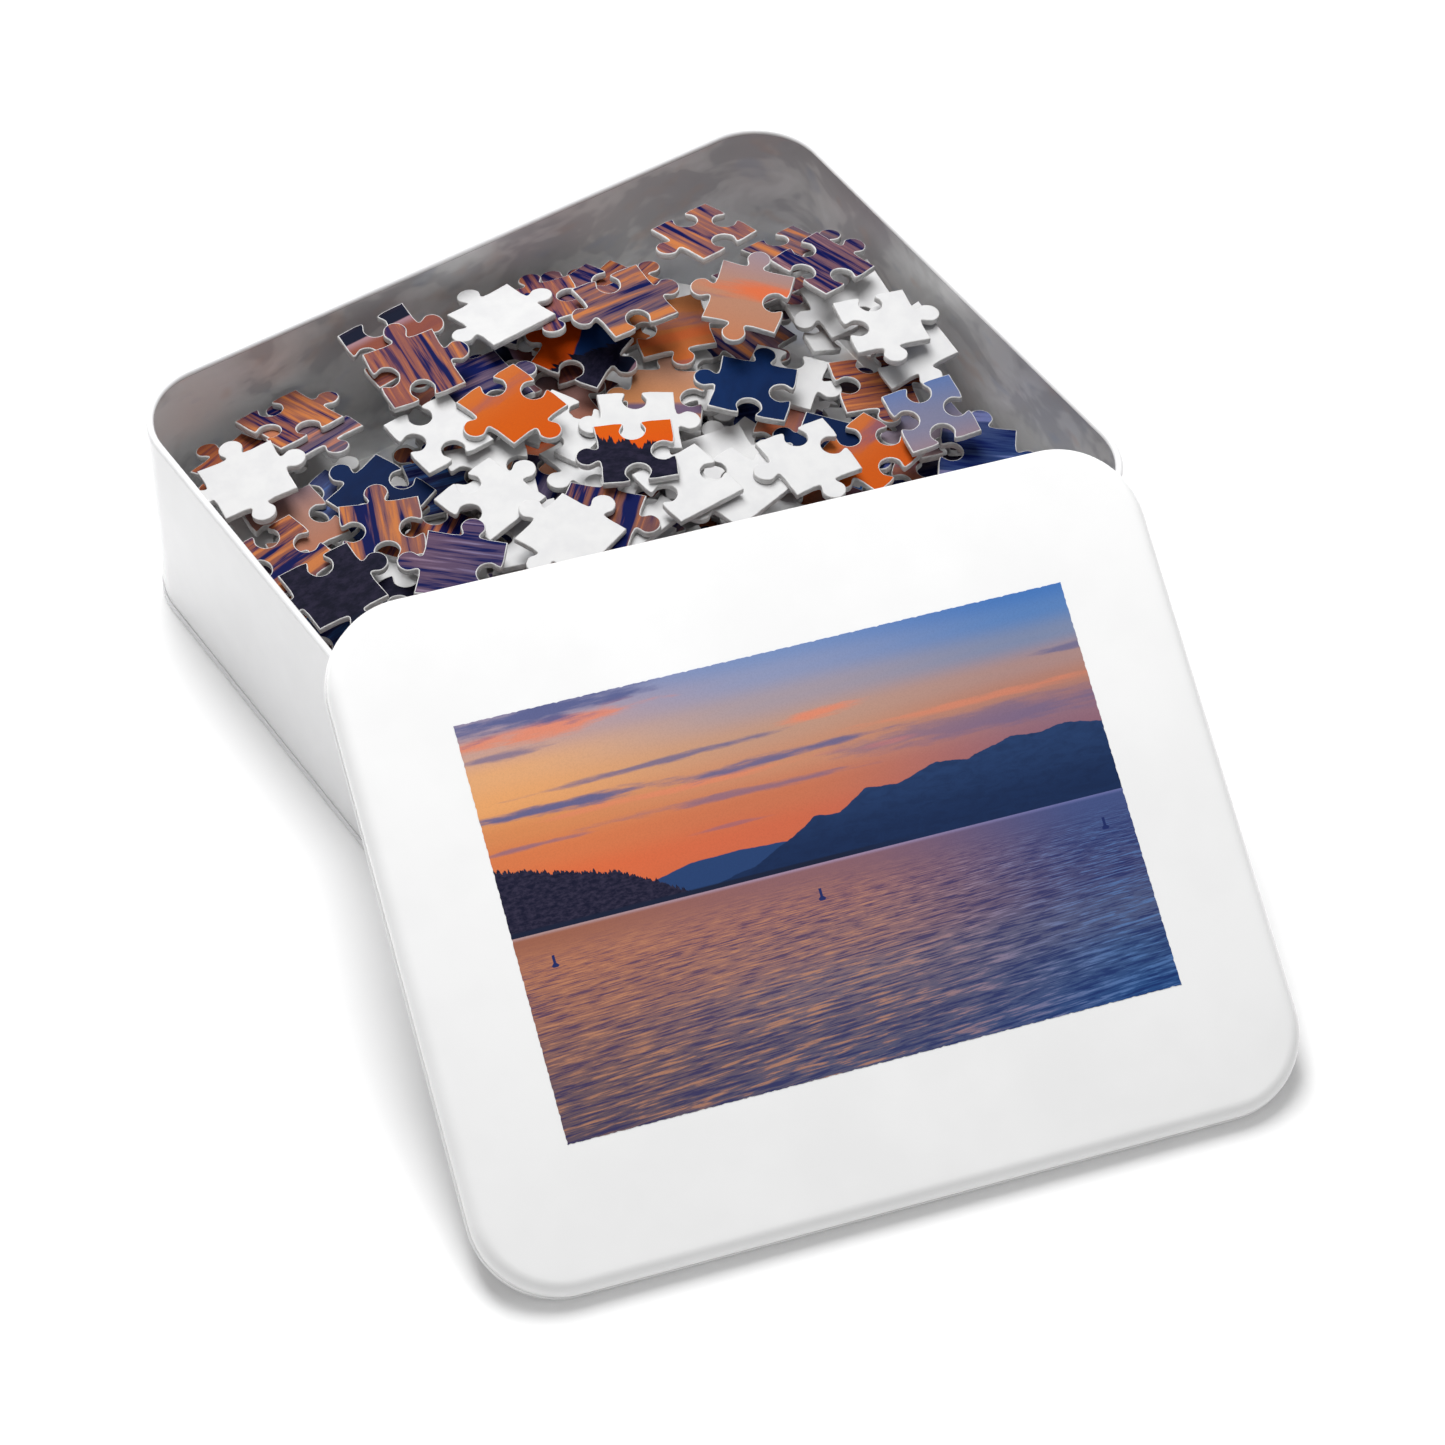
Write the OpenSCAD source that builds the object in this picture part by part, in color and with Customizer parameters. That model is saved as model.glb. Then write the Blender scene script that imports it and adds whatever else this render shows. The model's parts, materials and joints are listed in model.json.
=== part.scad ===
// Boxed jigsaw puzzle: a rectangular slip-lid tin heaped with loose jigsaw pieces,
// and its lid leaning on one corner of the rim.
// The origin is the centre of the tin's underside, +X runs along the tin and +Z up.

/* [Tin] */
// Length of the tin over its wall
tin_length = 200; // [196:1:210]
// Width of the tin over its wall
tin_width = 164; // [160:1:174]
// Height of the tin
tin_height = 60.5; // [58:0.5:66]
// Outer radius of the tin's upright corners
corner_radius = 20; // [17:1:23]
// Thickness of the tin's sheet
sheet = 0.6; // [0.5:0.1:0.8]
// Width of the curled bead round the rim
rim_bead = 2; // [1.6:0.2:2.4]
// Height of the folded seam round the base
seam_height = 2.6; // [2.2:0.2:3]

/* [Lid] */
// Depth of the lid over its skirt
lid_depth = 7.5; // [7:0.5:10]
// How far the lid's skirt stands out from the tin's wall, on each side
lid_overhang = 1; // [0.9:0.1:1.3]
// Radius of the lid's rounded top edge
lid_edge_radius = 3.5; // [3:0.5:4]
// Slope of the leaning lid, in degrees
lid_slope = 28.5; // [26:0.5:31]
// Turn of the leaning lid, in degrees
lid_turn = -15.8; // [-18:0.2:-12]
// How far the lid is shifted along its lower edge
lid_shift = 4.4; // [0:0.2:8]
// Length of the printed picture on the lid
picture_length = 150; // [140:1:160]
// Width of the printed picture on the lid
picture_width = 100; // [90:1:110]

/* [Puzzle] */
// Size of one piece along the picture, without its knobs
piece_length = 19.7; // [19.3:0.1:19.9]
// Size of one piece across the picture, without its knobs
piece_width = 20; // [19.5:0.1:20.1]
// Thickness of the cardboard
board = 1.9; // [1.7:0.1:2]
// Radius of a knob
knob_radius = 3.15; // [3:0.05:3.2]
// Half of the width of a knob's neck, where it leaves the side
neck = 2.6; // [2.4:0.1:2.8]

/* [Hidden] */
$fn = 64;

// ---- lid and tin, derived sizes ----
lid_length = tin_length + 2 * lid_overhang;
lid_width = tin_width + 2 * lid_overhang;
lid_corner = corner_radius + lid_overhang;
lid_bead = 1.6;
lid_bead_proud = 0.3;
picture_sheet = 0.1;
base_rise = 1.2;
seam_proud = 0.4;
seam_inside = 1.2;
wall_foot = 0.9;
bead_radius = rim_bead / 2;
touch_gap = 0.15;

// The lid's frame lies at the middle of its top face. Its lower edge is level on the floor,
// and its underside rests on the bead of the rim's front left corner.
lid_reach = lid_width / 2 + lid_bead_proud;
lid_rise = (lid_reach * sin(lid_slope)) + (lid_depth - lid_bead / 2) * cos(lid_slope) + lid_bead / 2
    - lid_bead / 2 * sin(lid_slope);
lid_along = [cos(lid_turn), sin(lid_turn), 0];
lid_back = [-sin(lid_turn), cos(lid_turn), 0];
lid_normal = -sin(lid_slope) * lid_back + [0, 0, cos(lid_slope)];
rim_centre = [-(tin_length / 2 - corner_radius), -(tin_width / 2 - corner_radius), tin_height - bead_radius];
rim_reach = lid_normal * rim_centre + (corner_radius - bead_radius) * sin(lid_slope) + bead_radius;
lid_back_shift = (lid_rise * cos(lid_slope) - rim_reach - sheet - touch_gap) / sin(lid_slope);
lid_centre = lid_shift * lid_along + lid_back_shift * lid_back + [0, 0, lid_rise];

// ---- jigsaw cut ----
// The finished picture has 18 columns of 14 rows, counted from its lower left corner.
// Every side between two pieces is drawn once, by its place in the grid, so that the two
// pieces that share it fit each other. The picture's outer border is straight.
columns = 18;
rows = 14;
knob_out = 2.75;
knob_points = 7;
knob_start = 225;
cut_fit = 0.994;

function chance(a, b, k) =
    let(v = sin(a * 127.1 + b * 311.7 + k * 74.7) * 4375.85)
    v - floor(v);
function spread(a, b, k, most) = most * (2 * chance(a, b, k) - 1);

function grid_corner(c, r) = [
    c * piece_length + (c == 0 || c == columns ? 0 : spread(c, r, 1, 0.4)),
    r * piece_width + (r == 0 || r == rows ? 0 : spread(c, r, 2, 0.4))];
function level_way(c, r) = r == 0 || r == rows ? 0 : (chance(c, r, 3) < 0.5 ? -1 : 1);
function upright_way(c, r) = c == 0 || c == columns ? 0 : (chance(c, r, 4) < 0.5 ? -1 : 1);

// Points from p to q, with a knob towards the left of that line for way 1, the right for way -1.
function side_points(p, q, way, shift, bow) =
    let(along = (q - p) / norm(q - p), left = [-along[1], along[0]], m = (p + q) / 2 + shift * along)
    way == 0 ? [p, q] : [
        p,
        m - neck * along + bow * left,
        for (k = [0:knob_points - 1])
            let(a = knob_start - k * (2 * knob_start - 180) / (knob_points - 1))
            m + knob_radius * cos(a) * along + (bow + way * (knob_out + knob_radius * sin(a))) * left,
        m + neck * along + bow * left,
        q];
function level_side(c, r) = side_points(grid_corner(c, r), grid_corner(c + 1, r),
    level_way(c, r), spread(c, r, 5, 0.9), spread(c, r, 6, 0.3));
function upright_side(c, r) = side_points(grid_corner(c, r), grid_corner(c, r + 1),
    -upright_way(c, r), spread(c, r, 7, 0.9), spread(c, r, 8, 0.3));

function backwards(list) = [for (k = [len(list) - 1:-1:0]) list[k]];
function all_but_last(list) = [for (k = [0:len(list) - 2]) list[k]];
function cell_middle(c, r) = [(c + 0.5) * piece_length, (r + 0.5) * piece_width];
function piece_outline(c, r) = [
    for (side = [level_side(c, r), upright_side(c + 1, r),
            backwards(level_side(c, r + 1)), backwards(upright_side(c, r))])
        for (point = all_but_last(side))
            cut_fit * (point - cell_middle(c, r))];

// The discs that a piece's outline stays in: its four corners and its outward knobs.
corner_disc = 0.7;
knob_disc = 3.5;
function body_discs() = [for (u = [-1, 1], v = [-1, 1])
    [u * (piece_length / 2 - 0.2), v * (piece_width / 2 - 0.2), corner_disc]];
function knob_discs(c, r) = [
    if (level_way(c, r) == -1) [spread(c, r, 5, 0.9), -piece_width / 2 - knob_out, knob_disc],
    if (level_way(c, r + 1) == 1) [spread(c, r + 1, 5, 0.9), piece_width / 2 + knob_out, knob_disc],
    if (upright_way(c, r) == -1) [-piece_length / 2 - knob_out, spread(c, r, 7, 0.9), knob_disc],
    if (upright_way(c + 1, r) == 1) [piece_length / 2 + knob_out, spread(c + 1, r, 7, 0.9), knob_disc]];
function turned(p, a) = [p[0] * cos(a) - p[1] * sin(a), p[0] * sin(a) + p[1] * cos(a), p[2]];
function discs(c, r, up, turn) = [for (d = concat(body_discs(), knob_discs(c, r)))
    turned([d[0], up ? d[1] : -d[1], d[2]], turn)];

// ---- heap ----
// A loose piece is [x, y, height, slope x, slope y, turn, picture up, column, row, discs].
// Each piece settles on the highest of the pieces under it, from the floor of the tin upwards.
wall_gap = 0.4;
room_length = tin_length / 2 - sheet - corner_radius;
room_width = tin_width / 2 - sheet - corner_radius;
room_radius = corner_radius - rim_bead - wall_gap;
piece_reach = 16.6;
rest_gap = 0.03;
top_rocks = 6;
top_rock = 0.07;
buried_rocks = 2;
buried_rock = 0.05;
places = 5;
floor_height = base_rise + sheet + 0.05;

// How far a disc at p is outside the room inside the wall, as a vector that takes it back.
function way_back(p, radius) =
    let(out = [p[0] - max(-room_length, min(room_length, p[0])),
               p[1] - max(-room_width, min(room_width, p[1]))],
        over = norm(out) + radius - room_radius)
    over > 0 ? -over * out / norm(out) : [0, 0];
function farthest(list, k = 0, best = [0, 0]) =
    k == len(list) ? best : farthest(list, k + 1, norm(list[k]) > norm(best) ? list[k] : best);
function kept_inside(p, shape, tries = 6) =
    let(move = farthest([for (d = shape) way_back([p[0] + d[0], p[1] + d[1]], d[2])]))
    tries == 0 || norm(move) < 0.001 ? p : kept_inside(p + move, shape, tries - 1);

function support(shape, u) = max([for (d = shape) d[0] * u[0] + d[1] * u[1] + d[2] * norm(u)]);
function parted(a, b, turn) =
    let(off = [b[0] - a[0], b[1] - a[1]])
    max([for (k = [0:3])
        let(u = [cos(turn + 90 * k), sin(turn + 90 * k)])
        off * u - support(a[9], u) - support(b[9], -u)]) > 0;
function apart(a, b) = parted(a, b, a[5]) || parted(a, b, b[5]);
function half_rise(slope) = board / 2 * sqrt(1 + slope * slope);

// The lowest height at which a, with its own slope, clears b beneath it. The shared part of
// their outlines lies in a's discs, in b's discs, and in the lens of two circles of
// piece_reach, so the lowest of the three heights is enough.
function height_over(a, b) =
    let(off = [b[0] - a[0], b[1] - a[1]], d = norm(off))
    d >= 2 * piece_reach ? 0 :
    let(ga = [a[3], a[4]], gb = [b[3], b[4]], twist = gb - ga, t = norm(twist),
        across = t == 0 || d == 0 ? 0 : abs(off * twist) / (d * t),
        lens = across * 2 * piece_reach > d ? piece_reach - d / 2 * across
            : sqrt((piece_reach * piece_reach - d * d / 4) * (1 - across * across)),
        middle = -(gb + ga) * off / 2 + t * lens,
        over_a = -gb * off + support(a[9], twist),
        over_b = -ga * off + support(b[9], twist))
    b[2] + min(middle, over_a, over_b) + half_rise(norm(ga)) + half_rise(norm(gb)) + rest_gap;
function settled_height(a, heap, k, best) =
    k < 0 ? best :
    let(h = height_over(a, heap[k]))
    settled_height(a, heap, k - 1, h > best && !apart(a, heap[k]) ? h : best);
function settled(p, slope, turn, up, c, r, shape, heap) =
    let(flat = [p[0], p[1], 0, slope[0], slope[1], turn, up, c, r, shape],
        on_floor = floor_height + support(shape, -slope) + half_rise(norm(slope)))
    [p[0], p[1], settled_height(flat, heap, len(heap) - 1, on_floor),
        slope[0], slope[1], turn, up, c, r, shape];
function lowest(list, k = 1, best = 0) =
    k == len(list) ? list[best] : lowest(list, k + 1, list[k][2] < list[best][2] ? k : best);

// A piece rocks a little either way and comes to rest at the slope that lets it lie lowest.
function dropped(x, y, slope, rock, rocks, turn, up, c, r, heap) =
    let(shape = discs(c, r, up, turn), p = kept_inside([x, y], shape))
    lowest([for (k = [0:rocks - 1])
        settled(p, slope + [spread(c, r, 30 + k, rock), spread(c, r, 40 + k, rock)],
            turn, up, c, r, shape, heap)]);

// The pieces that can be seen on the heap, laid by hand, lowest first:
// [x, y, turn, rise towards +x, rise towards +y, picture up, column, row].
// The turn and the rises are in degrees.
TOP = [
    [5, 46, 85, 0, 0, 1, 5, 5],
    [-68, 8, -20, 0, 0, 0, 4, 12],
    [-38, -8, 30, 0, 0, 0, 5, 12],
    [77, -14, -18, 0, 0, 1, 11, 11],
    [-15, 18, -48, 0, 0, 1, 12, 10],
    [45, -3, 40, 0, 0, 1, 16, 3],
    [49, 57, 40, 0, 0, 0, 6, 12],
    [-61, 58, 2, 0, -10, 0, 2, 12],
    [90, -8, 80, -20, 0, 1, 5, 8],
    [-87, 38, -6, 4, 0, 0, 0, 12],
    [-16, 68, 8, 0, -8, 1, 5, 4],
    [-51, 17, 36, 0, 0, 1, 3, 5],
    [-30, 2, -15, 0, 0, 0, 8, 13],
    [9, 58, 78, 4, 0, 1, 5, 6],
    [38, 33, -5, 0, 0, 0, 7, 12],
    [-64, 40, 22, 0, 0, 1, 15, 2],
    [-2, 15, 10, 0, 0, 0, 13, 13],
    [62, 64, 30, 0, -12, 0, 8, 12],
    [27, 1, -10, 0, 0, 0, 13, 0],
    [67, -33, 132, 0, 0, 1, 10, 10],
    [40, 58, -3, 0, 0, 1, 6, 10],
    [-6, -8, 12, 0, 0, 0, 6, 13],
    [-76, 38, 0, 0, 0, 1, 12, 11],
    [20, -16, 15, 0, 0, 0, 7, 13],
    [-3, 27, 25, 0, 0, 0, 12, 13],
    [16, 66, 25, 0, -10, 1, 7, 4],
    [28, 27, -40, 0, 0, 1, 5, 11],
    [88, -18, -5, -8, 0, 1, 10, 12],
    [66, 46, 98, -6, -6, 1, 9, 3],
    [58, 17, 40, 0, 0, 0, 9, 12],
    [52, -13, 38, 0, 0, 1, 17, 7],
    [-62, -1, 5, 0, 0, 1, 3, 7],
    [-54, 32, 19, 3, 3, 1, 15, 7],
    [-28, 22, -20, 0, 0, 0, 10, 13],
    [-14, 48, 0, 0, 0, 1, 12, 3],
    [43, 47, -20, 0, 0, 1, 5, 10],
    [78, 52, 80, -12, -14, 1, 9, 5],
    [-34, 37, 3, 0, 0, 0, 3, 12],
    [-61, 20, 64, 4, 4, 1, 6, 4],
    [-15, -7, 40, 0, 0, 1, 1, 3],
    [13, 17, -28, 0, 0, 0, 14, 13],
    [9, -11, 3, 0, 0, 0, 15, 13],
    [-88, 27, 8, 0, 0, 1, 2, 4],
    [-76, 63, 18, 0, -12, 1, 1, 5],
    [-34, 13, 12, 0, 0, 0, 9, 13],
    [75, 1, -20, 0, 0, 1, 2, 5],
    [80, 26, -15, -10, 0, 0, 11, 12],
    [83, -34, -38, 0, 0, 1, 14, 1],
    [58, -21, 17, 0, 0, 1, 5, 9],
    [17, 50, 30, 0, 0, 1, 4, 7],
    [44, 11, 45, 0, 0, 1, 16, 8],
    [36, 62, 20, 0, -10, 1, 3, 4],
    [26, 69, 100, 4, -14, 1, 10, 4],
    [14, 70, 75, 0, -12, 1, 8, 5],
    [-57, 70, 8, 0, -10, 1, 10, 3],
    [88, 26, 80, 14, 0, 0, 3, 13],
    [88, 2, 85, 14, 0, 0, 4, 13],
    [80, 58, 95, -8, -10, 1, 10, 5],
    [84, 46, 100, -10, -10, 1, 8, 3],
    [84, 34, 104, -10, -6, 1, 11, 4],
    [1, 66, 5, 0, -8, 0, 16, 13],
    [-60, 67, 98, 0, -14, 1, 4, 4],
    [-14, 34, 12, 0, 0, 1, 4, 9],
    [76, -22, -12, 0, 0, 1, 13, 12],
    [-30, 66, 0, 0, 8, 1, 3, 6],
    [-30, 55, 84, 0, 6, 1, 6, 5],
    [29, 48, 0, 0, 0, 1, 7, 3],
    [56, 31, -52, 0, 0, 1, 9, 11],
    [-86, 51, -8, 4, -8, 0, 1, 12],
    [-86, 10, 0, 0, 0, 1, 2, 7],
    [-53, -4, -42, 0, 0, 1, 13, 4],
    [-25, -10, 20, 0, 0, 0, 11, 13],
    [3, 3, -28, 0, 0, 1, 1, 8],
    [59, 56, 100, -4, -6, 1, 8, 4],
    [82, 8, -15, -8, 0, 0, 12, 12],
    [41, -18, -3, 0, 0, 0, 14, 12]
];
// The first ones lie under the rest, and are in the layers with the buried pieces. The last
// ones are nodes of their own even with their backs up.
FIRST = 9;
LAST = 16;

// Buried pieces. Each has a few places to go, from an even spread over the tin, and takes
// the one that lies lowest under the mound's surface.
function radical(i, base, scale) =
    i == 0 ? 0 : (i % base) * scale + radical(floor(i / base), base, scale / base);
function halton(i) = [
    (2 * radical(i, 2, 1 / 2) - 1) * (room_length + room_radius - 12),
    (2 * radical(i, 3, 1 / 3) - 1) * (room_width + room_radius - 12)];
function mound(p) =
    34 - 19 * pow(max(0, p[0]) / 80, 2) - 14 * pow(max(0, p[1]) / 64, 2);
function best_place(list, k = 1, best = 0) =
    k == len(list) ? list[best] :
    best_place(list, k + 1, list[k][2] - mound(list[k]) < list[best][2] - mound(list[best]) ? k : best);
function is_taken(c, r) = max([for (t = TOP) t[6] == c && t[7] == r ? 1 : 0]) == 1;
CELLS = [for (n = [0:columns * rows - 1])
    let(m = (n * 89) % (columns * rows), c = m % columns, r = floor(m / columns))
    if (!is_taken(c, r)) [c, r]];
function laid(n, heap) =
    n == len(CELLS) ? heap :
    laid(n + 1, concat(heap, [best_place([for (k = [0:places - 1])
        let(i = places * n + k + 1, p = halton(i))
        dropped(p[0], p[1], [0, 0], buried_rock, buried_rocks,
            360 * chance(i, 4, 14), chance(n, 5, 15) < 0.5, CELLS[n][0], CELLS[n][1], heap)])]));
function laid_top(k, heap) =
    k == len(TOP) ? heap :
    let(t = TOP[k])
    laid_top(k + 1, concat(heap, [dropped(t[0], t[1], [tan(t[3]), tan(t[4])], top_rock, top_rocks,
        t[2], t[5] == 1, t[6], t[7], heap)]));
HEAP = laid_top(0, laid(0, []));
BURIED = len(CELLS);

// After the first ones, each piece of TOP that shows its picture, or is one of the last, is a
// node of its own, named after its column and its row. The rest are in layers, from the floor
// up, with a node for the pieces of each layer that lie face down and one for those face up.
LAYERS = 3;
FACES = ["face_down", "face_up"];
function is_own(k) = k >= BURIED + FIRST && (HEAP[k][6] || k >= len(HEAP) - LAST);
OWN = [for (k = [0:len(HEAP) - 1]) if (is_own(k)) k];
IN_LAYERS = [for (k = [0:len(HEAP) - 1]) if (!is_own(k)) k];
function two_digits(n) = str(n < 10 ? "0" : "", n);
OWN_NAMES = [for (k = OWN)
    str("piece_", two_digits(HEAP[k][7]), "_", two_digits(HEAP[k][8]), "_", FACES[HEAP[k][6] ? 1 : 0])];
LAYER_NAMES = [for (layer = [1:LAYERS], face = FACES) str("layer_", layer, "_", face)];

// ---- shapes ----
module rounded_plate(length, width, radius, height) {
    linear_extrude(height = height) {
        square([length - 2 * radius, width], center = true);
        square([length, width - 2 * radius], center = true);
        for (u = [-1, 1], v = [-1, 1])
            translate([u * (length / 2 - radius), v * (width / 2 - radius)]) circle(r = radius);
    }
}

module rounded_ring(length, width, radius, thickness, height) {
    difference() {
        rounded_plate(length, width, radius, height);
        translate([0, 0, -1])
            rounded_plate(length - 2 * thickness, width - 2 * thickness, radius - thickness, height + 2);
    }
}

// Carries a section, drawn outwards from the corner's centre, round a rounded rectangle.
module swept_round(length, width, radius) {
    for (k = [0:3]) {
        near = k % 2 == 0 ? [length / 2, width / 2] : [width / 2, length / 2];
        rotate([0, 0, 90 * k]) translate([near[0] - radius, near[1] - radius, 0]) {
            rotate_extrude(angle = 90) children();
            rotate([90, 0, 0]) linear_extrude(height = 2 * (near[1] - radius)) children();
        }
    }
}

module tin_wall() {
    color("whitesmoke") {
        translate([0, 0, wall_foot])
            rounded_ring(tin_length, tin_width, corner_radius, sheet, tin_height - bead_radius - wall_foot);
        translate([0, 0, tin_height - bead_radius]) swept_round(tin_length, tin_width, corner_radius)
            translate([corner_radius - bead_radius, 0]) circle(r = bead_radius);
    }
}

module tin_base() {
    color("lightgray") {
        translate([0, 0, base_rise])
            rounded_plate(tin_length - 2 * seam_inside, tin_width - 2 * seam_inside,
                corner_radius - seam_inside, sheet);
        difference() {
            rounded_ring(tin_length + 2 * seam_proud, tin_width + 2 * seam_proud,
                corner_radius + seam_proud, seam_proud + seam_inside, seam_height);
            translate([0, 0, wall_foot])
                rounded_ring(tin_length, tin_width, corner_radius, sheet, seam_height);
        }
    }
}

module lid_section() {
    translate([lid_corner - lid_edge_radius, -lid_edge_radius]) intersection() {
        difference() {
            circle(r = lid_edge_radius);
            circle(r = lid_edge_radius - sheet);
        }
        square(lid_edge_radius);
    }
    translate([lid_corner - sheet, lid_bead / 2 - lid_depth])
        square([sheet, lid_depth - lid_edge_radius - lid_bead / 2]);
    translate([lid_corner + lid_bead_proud - lid_bead / 2, lid_bead / 2 - lid_depth]) circle(d = lid_bead);
}

module on_lid() {
    translate(lid_centre) rotate([0, 0, lid_turn]) rotate([lid_slope, 0, 0]) children();
}

module lid_shell() {
    color("white") on_lid() {
        swept_round(lid_length, lid_width, lid_corner) lid_section();
        translate([0, 0, -sheet])
            rounded_plate(lid_length - 2 * lid_edge_radius, lid_width - 2 * lid_edge_radius,
                lid_corner - lid_edge_radius, sheet);
    }
}

module lid_picture() {
    color("sandybrown") on_lid()
        translate([-picture_length / 2, -picture_width / 2, 0])
            cube([picture_length, picture_width, picture_sheet]);
}

// One loose piece where it has settled. Its printed face is up or down.
module loose_piece(place) {
    slope = [place[3], place[4]];
    color(place[6] ? "steelblue" : "white")
        translate([place[0], place[1], place[2]])
            rotate(a = atan(norm(slope)), v = [slope[1], -slope[0], 0])
                rotate([place[6] ? 0 : 180, 0, place[5]])
                    translate([0, 0, -board / 2])
                        linear_extrude(height = board) polygon(piece_outline(place[7], place[8]));
}

// The loose pieces of one layer that lie with one face up.
module heap_layer(name) {
    for (n = [0:len(IN_LAYERS) - 1]) {
        place = HEAP[IN_LAYERS[n]];
        layer = 1 + floor(n * LAYERS / len(IN_LAYERS));
        if (name == str("layer_", layer, "_", FACES[place[6] ? 1 : 0])) loose_piece(place);
    }
}

tin_wall();
tin_base();
lid_shell();
lid_picture();
for (name = LAYER_NAMES) heap_layer(name);
for (k = [0:len(OWN) - 1]) loose_piece(HEAP[OWN[k]]);
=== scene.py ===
"""Looks for a boxed jigsaw puzzle: an open tin heaped with loose pieces, its lid leaning on the rim."""
import json
import math
import bpy
import numpy as np
from mathutils import Matrix, Vector

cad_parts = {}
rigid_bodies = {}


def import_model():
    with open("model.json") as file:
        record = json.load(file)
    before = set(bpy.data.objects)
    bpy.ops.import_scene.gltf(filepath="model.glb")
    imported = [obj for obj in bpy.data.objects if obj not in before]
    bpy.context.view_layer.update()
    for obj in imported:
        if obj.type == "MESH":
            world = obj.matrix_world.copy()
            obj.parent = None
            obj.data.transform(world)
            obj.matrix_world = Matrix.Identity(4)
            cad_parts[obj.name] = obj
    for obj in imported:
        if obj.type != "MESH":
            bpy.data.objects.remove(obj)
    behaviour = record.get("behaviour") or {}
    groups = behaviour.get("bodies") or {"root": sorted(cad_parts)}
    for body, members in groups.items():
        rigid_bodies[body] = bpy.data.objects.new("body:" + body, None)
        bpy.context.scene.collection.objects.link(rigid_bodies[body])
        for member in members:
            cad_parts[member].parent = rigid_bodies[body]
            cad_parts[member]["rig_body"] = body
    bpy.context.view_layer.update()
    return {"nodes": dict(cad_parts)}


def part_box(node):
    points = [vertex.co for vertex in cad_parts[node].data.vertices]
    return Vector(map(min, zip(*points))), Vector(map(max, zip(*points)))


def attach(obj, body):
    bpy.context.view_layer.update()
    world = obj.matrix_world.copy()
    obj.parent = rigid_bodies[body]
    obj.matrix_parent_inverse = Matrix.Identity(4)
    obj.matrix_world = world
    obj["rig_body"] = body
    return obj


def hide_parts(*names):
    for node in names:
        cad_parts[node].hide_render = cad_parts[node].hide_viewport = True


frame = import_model()

MM = 0.001

# ---- sizes of the design, in millimetres, as in part.scad ----
SHEET = 0.6
RIM_BEAD = 2.0
CORNER_RADIUS = 20.0
SEAM_PROUD = 0.4
SEAM_INSIDE = 1.2
SEAM_HEIGHT = 2.6
BASE_RISE = 1.2
LID_OVERHANG = 1.0
LID_DEPTH = 7.5
LID_EDGE_RADIUS = 3.5
LID_BEAD = 1.6
LID_BEAD_PROUD = 0.3
LID_SLOPE = 28.5
LID_TURN = -15.8
PRINT_LENGTH = 150.0
PRINT_WIDTH = 100.0
PRINT_SHEET = 0.1
COLUMNS = 18
ROWS = 14
PIECE_LENGTH = 19.7
PIECE_WIDTH = 20.0
BOARD = 1.9


# ---- node graphs ----
def linear(channel):
    """A screen value from 0 to 255 as the renderer's linear value."""
    share = channel / 255
    return share / 12.92 if channel < 11 else ((share + 0.055) / 1.055) ** 2.4


def srgb(r, g, b):
    """An opaque colour, from 0 to 255 a channel."""
    return (linear(r), linear(g), linear(b), 1.0)


class Graph:
    """Short calls that add nodes to a tree. Every value may be a socket, a number or a tuple."""

    def __init__(self, tree):
        self.tree = tree

    def put(self, socket, value):
        if isinstance(value, bpy.types.NodeSocket):
            self.tree.links.new(value, socket)
        elif value is not None:
            socket.default_value = value

    def node(self, kind, settings=None, **inputs):
        made = self.tree.nodes.new("ShaderNode" + kind)
        for name, value in (settings or {}).items():
            setattr(made, name, value)
        for name, value in inputs.items():
            self.put(made.inputs[name.replace("_", " ")], value)
        return made

    def math(self, operation, a, b=None, clamp=False):
        made = self.node("Math", {"operation": operation, "use_clamp": clamp})
        self.put(made.inputs[0], a)
        self.put(made.inputs[1], b)
        return made.outputs[0]

    def between(self, value, low, high):
        """0 below low and 1 above high, smoothly; the other way round where low is the larger."""
        made = self.node("MapRange", {"interpolation_type": "SMOOTHSTEP"})
        ends = (0.0, 1.0) if low < high else (1.0, 0.0)
        for k, v in enumerate((value, min(low, high), max(low, high), *ends)):
            self.put(made.inputs[k], v)
        return made.outputs[0]

    def mix(self, share, a, b):
        made = self.node("Mix", {"data_type": "RGBA"})
        self.put(made.inputs[0], share)
        self.put(made.inputs[6], a)
        self.put(made.inputs[7], b)
        return made.outputs[2]

    def ramp(self, value, stops):
        made = self.node("ValToRGB")
        made.color_ramp.interpolation = "EASE"
        while len(made.color_ramp.elements) < len(stops):
            made.color_ramp.elements.new(0.5)
        for element, (place, colour) in zip(made.color_ramp.elements, stops):
            element.position = place
            element.color = srgb(*colour)
        self.put(made.inputs[0], value)
        return made.outputs[0]

    def curve(self, value, points):
        """A height that follows straight lines between given points."""
        made = self.node("FloatCurve")
        line = made.mapping.curves[0]
        while len(line.points) < len(points):
            line.points.new(0.5, 0.5)
        for point, (x, y) in zip(line.points, points):
            point.location = (x, y)
            point.handle_type = "VECTOR"
        made.mapping.update()
        self.put(made.inputs["Value"], value)
        return made.outputs[0]

    def vector(self, x, y, z=0.0):
        made = self.node("CombineXYZ")
        for k, v in enumerate((x, y, z)):
            self.put(made.inputs[k], v)
        return made.outputs[0]

    def parts(self, vector):
        return self.node("SeparateXYZ", Vector=vector).outputs

    def noise(self, vector, scale=1.0, detail=2.0, roughness=0.5, distortion=0.0):
        made = self.node("TexNoise", Vector=vector, Scale=scale, Detail=detail, Roughness=roughness,
                         Distortion=distortion)
        return made.outputs["Fac"]


# ---- the picture: a lake at sunset ----
HORIZON = 0.485
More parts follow.
